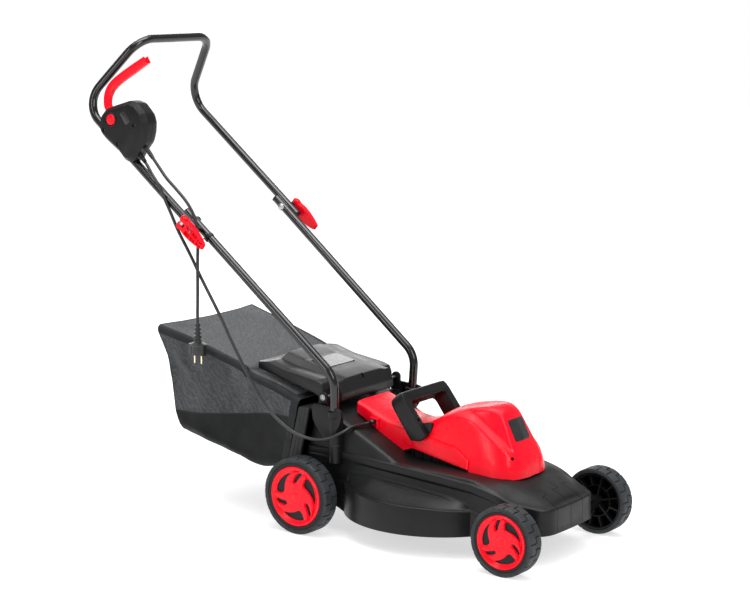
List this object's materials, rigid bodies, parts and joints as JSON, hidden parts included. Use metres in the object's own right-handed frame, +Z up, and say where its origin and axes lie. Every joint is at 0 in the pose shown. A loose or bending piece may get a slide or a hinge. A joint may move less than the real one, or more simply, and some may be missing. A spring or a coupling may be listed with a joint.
{
  "type": "electric lawn mower",
  "caption": "Corded electric rotary lawn mower with a folding tube handle, rear fabric grass bag, hinged rear flap, spring-return switch lever and a spinning blade",
  "frame": {"origin": "on the ground under the middle of the mower", "axes": "+X forwards, from the handle to the nose; +Y to the mower's left; +Z up"},
  "size_m": [1.1659, 0.4098, 1.0237],
  "materials": {
    "red_plastic": "glossy moulded red",
    "black_plastic": "satin moulded black, fine grain",
    "tyre_rubber": "matt black",
    "tube_paint": "gloss black powder coat",
    "steel": "plain zinc-plated steel",
    "brass": "plain",
    "bag_fabric": "open woven mesh, black",
    "cord_sheath": "satin black flexible sheath",
    "cast_aluminium": "as cast"
  },
  "bodies": {
    "root": {"deck": "black_plastic", "motor_cover": "red_plastic", "carry_handle": "black_plastic", "cable_gland": "black_plastic", "motor_base": "black_plastic", "motor_end_shield": "cast_aluminium", "lower_bearing": "steel", "motor_stator": "steel", "upper_bearing": "steel", "motor_capacitor": "black_plastic", "front_axle": "steel", "rear_axle": "steel", "lower_handle_right": "tube_paint", "lower_handle_left": "tube_paint", "flap_hinge_pin": "steel", "flap_spring": "steel", "motor_cable": "cord_sheath"},
    "handle_top": {"upper_handle": "tube_paint", "joint_bolt_right": "steel", "joint_bolt_left": "steel", "lever_pin_right": "steel", "lever_pin_left": "steel", "switch_box_outer": "black_plastic", "switch_box_inner": "black_plastic", "microswitch": "black_plastic", "button_spring": "steel", "lever_spring": "steel", "mains_strain_relief": "cord_sheath", "cable_strain_relief": "cord_sheath", "mains_cord": "cord_sheath", "mains_plug": "cord_sheath", "plug_pin_rear": "brass", "plug_pin_front": "brass"},
    "rotor": {"motor_rotor": "steel", "blade_adapter": "cast_aluminium", "blade_bolt": "steel", "cooling_fan": "black_plastic", "blade": "steel"},
    "flap": {"rear_flap": "black_plastic"},
    "bag": {"grass_bag": "bag_fabric", "bag_mouth_frame": "black_plastic", "bag_frame": "steel"},
    "bail_lever": {"switch_lever": "red_plastic"},
    "button": {"lock_button": "red_plastic"},
    "cam_right": {"cam_lever_right": "red_plastic"},
    "cam_left": {"cam_lever_left": "red_plastic"},
    "front_right_wheel": {"front_right_wheel_tyre": "tyre_rubber", "front_right_wheel_core": "black_plastic", "front_right_wheel_cap": "red_plastic"},
    "front_left_wheel": {"front_left_wheel_tyre": "tyre_rubber", "front_left_wheel_core": "black_plastic", "front_left_wheel_cap": "red_plastic"},
    "rear_right_wheel": {"rear_right_wheel_tyre": "tyre_rubber", "rear_right_wheel_core": "black_plastic", "rear_right_wheel_cap": "red_plastic"},
    "rear_left_wheel": {"rear_left_wheel_tyre": "tyre_rubber", "rear_left_wheel_core": "black_plastic", "rear_left_wheel_cap": "red_plastic"}
  },
  "joints": [
    {"name": "handle_fold", "type": "hinge", "parent": "root", "child": "handle_top", "pos_m": [-0.2983, 0, 0.6328], "axis": [0, 1, 0], "range_deg": [0, 138], "deforming": ["motor_cable"]},
    {"name": "blade_spin", "type": "hinge", "parent": "root", "child": "rotor", "pos_m": [0.2433, 0, 0.1], "axis": [0, 0, 1], "continuous": true},
    {"name": "flap_hinge", "type": "hinge", "parent": "root", "child": "flap", "pos_m": [0.0303, 0, 0.283], "axis": [0, 1, 0], "range_deg": [0, 75], "stiffness_Nm_per_rad": 0.2, "springref_deg": -22.92},
    {"name": "bag_unhook", "type": "slide", "parent": "root", "child": "bag", "axis": [-0.9703, 0, 0.2419], "range_m": [0, 0.12]},
    {"name": "bail_lever_squeeze", "type": "hinge", "parent": "handle_top", "child": "bail_lever", "pos_m": [-0.5037, -0.1765, 0.852], "axis": [0, -1, 0], "range_deg": [0, 15], "stiffness_Nm_per_rad": 0.6, "springref_deg": -11.46},
    {"name": "lock_button_press", "type": "slide", "parent": "handle_top", "child": "button", "axis": [0, 1, 0], "range_m": [0, 0.004], "stiffness_N_per_m": 400, "springref_m": -0.002},
    {"name": "cam_lever_right_open", "type": "hinge", "parent": "handle_top", "child": "cam_right", "pos_m": [-0.2983, -0.1935, 0.6328], "axis": [-0.6315, 0, -0.7754], "range_deg": [0, 150]},
    {"name": "cam_lever_left_open", "type": "hinge", "parent": "handle_top", "child": "cam_left", "pos_m": [-0.2983, 0.1935, 0.6328], "axis": [0.6315, 0, 0.7754], "range_deg": [0, 150]},
    {"name": "front_right_wheel_roll", "type": "hinge", "parent": "root", "child": "front_right_wheel", "pos_m": [0.5133, -0.18355, 0.07], "axis": [0, 1, 0], "continuous": true},
    {"name": "front_left_wheel_roll", "type": "hinge", "parent": "root", "child": "front_left_wheel", "pos_m": [0.5133, 0.18355, 0.07], "axis": [0, 1, 0], "continuous": true},
    {"name": "rear_right_wheel_roll", "type": "hinge", "parent": "root", "child": "rear_right_wheel", "pos_m": [0.0083, -0.18355, 0.0813], "axis": [0, 1, 0], "continuous": true},
    {"name": "rear_left_wheel_roll", "type": "hinge", "parent": "root", "child": "rear_left_wheel", "pos_m": [0.0083, 0.18355, 0.0813], "axis": [0, 1, 0], "continuous": true}
  ]
}
